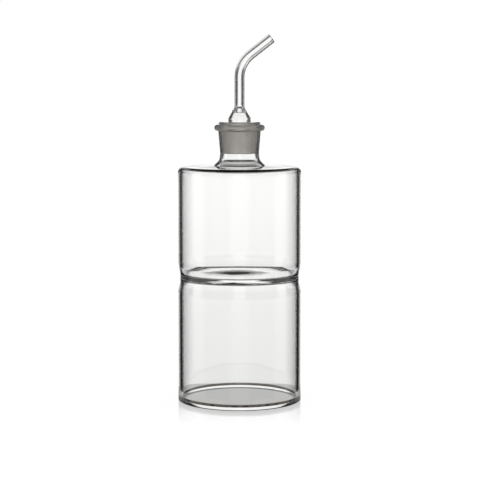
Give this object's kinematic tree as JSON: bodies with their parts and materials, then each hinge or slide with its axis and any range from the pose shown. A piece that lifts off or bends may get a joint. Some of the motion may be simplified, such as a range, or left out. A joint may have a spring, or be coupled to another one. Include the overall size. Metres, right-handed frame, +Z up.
{
  "type": "glass oil bottle",
  "caption": "Tall round two-storey glass oil bottle: closed reservoir on an open glass stand, with a ground pouring stopper and bent spout.",
  "frame": {"origin": "centre of the open foot rim, on the surface that the bottle stands on", "axes": "+Z up along the bottle's axis, +X the way the spout pours"},
  "size_m": [0.0754, 0.0754, 0.2228],
  "materials": {
    "clear_glass": "clear, fire-polished",
    "ground_glass": "finely ground, frosted"
  },
  "bodies": {
    "bottle": {"stand_cylinder": "clear_glass", "reservoir_floor": "clear_glass", "reservoir_wall": "clear_glass", "neck_socket": "clear_glass"},
    "stopper": {"ground_plug": "ground_glass"},
    "pouring_head": {"stopper_bulb": "clear_glass", "spout_tube": "clear_glass"}
  },
  "joints": [
    {"name": "stopper_lift", "type": "slide", "parent": "bottle", "child": "stopper", "axis": [0, 0, 1], "range_m": [0, 0.03]},
    {"name": "stopper_turn", "type": "hinge", "parent": "stopper", "child": "pouring_head", "pos_m": [0, 0, 0.17], "axis": [0, 0, 1], "continuous": true}
  ]
}
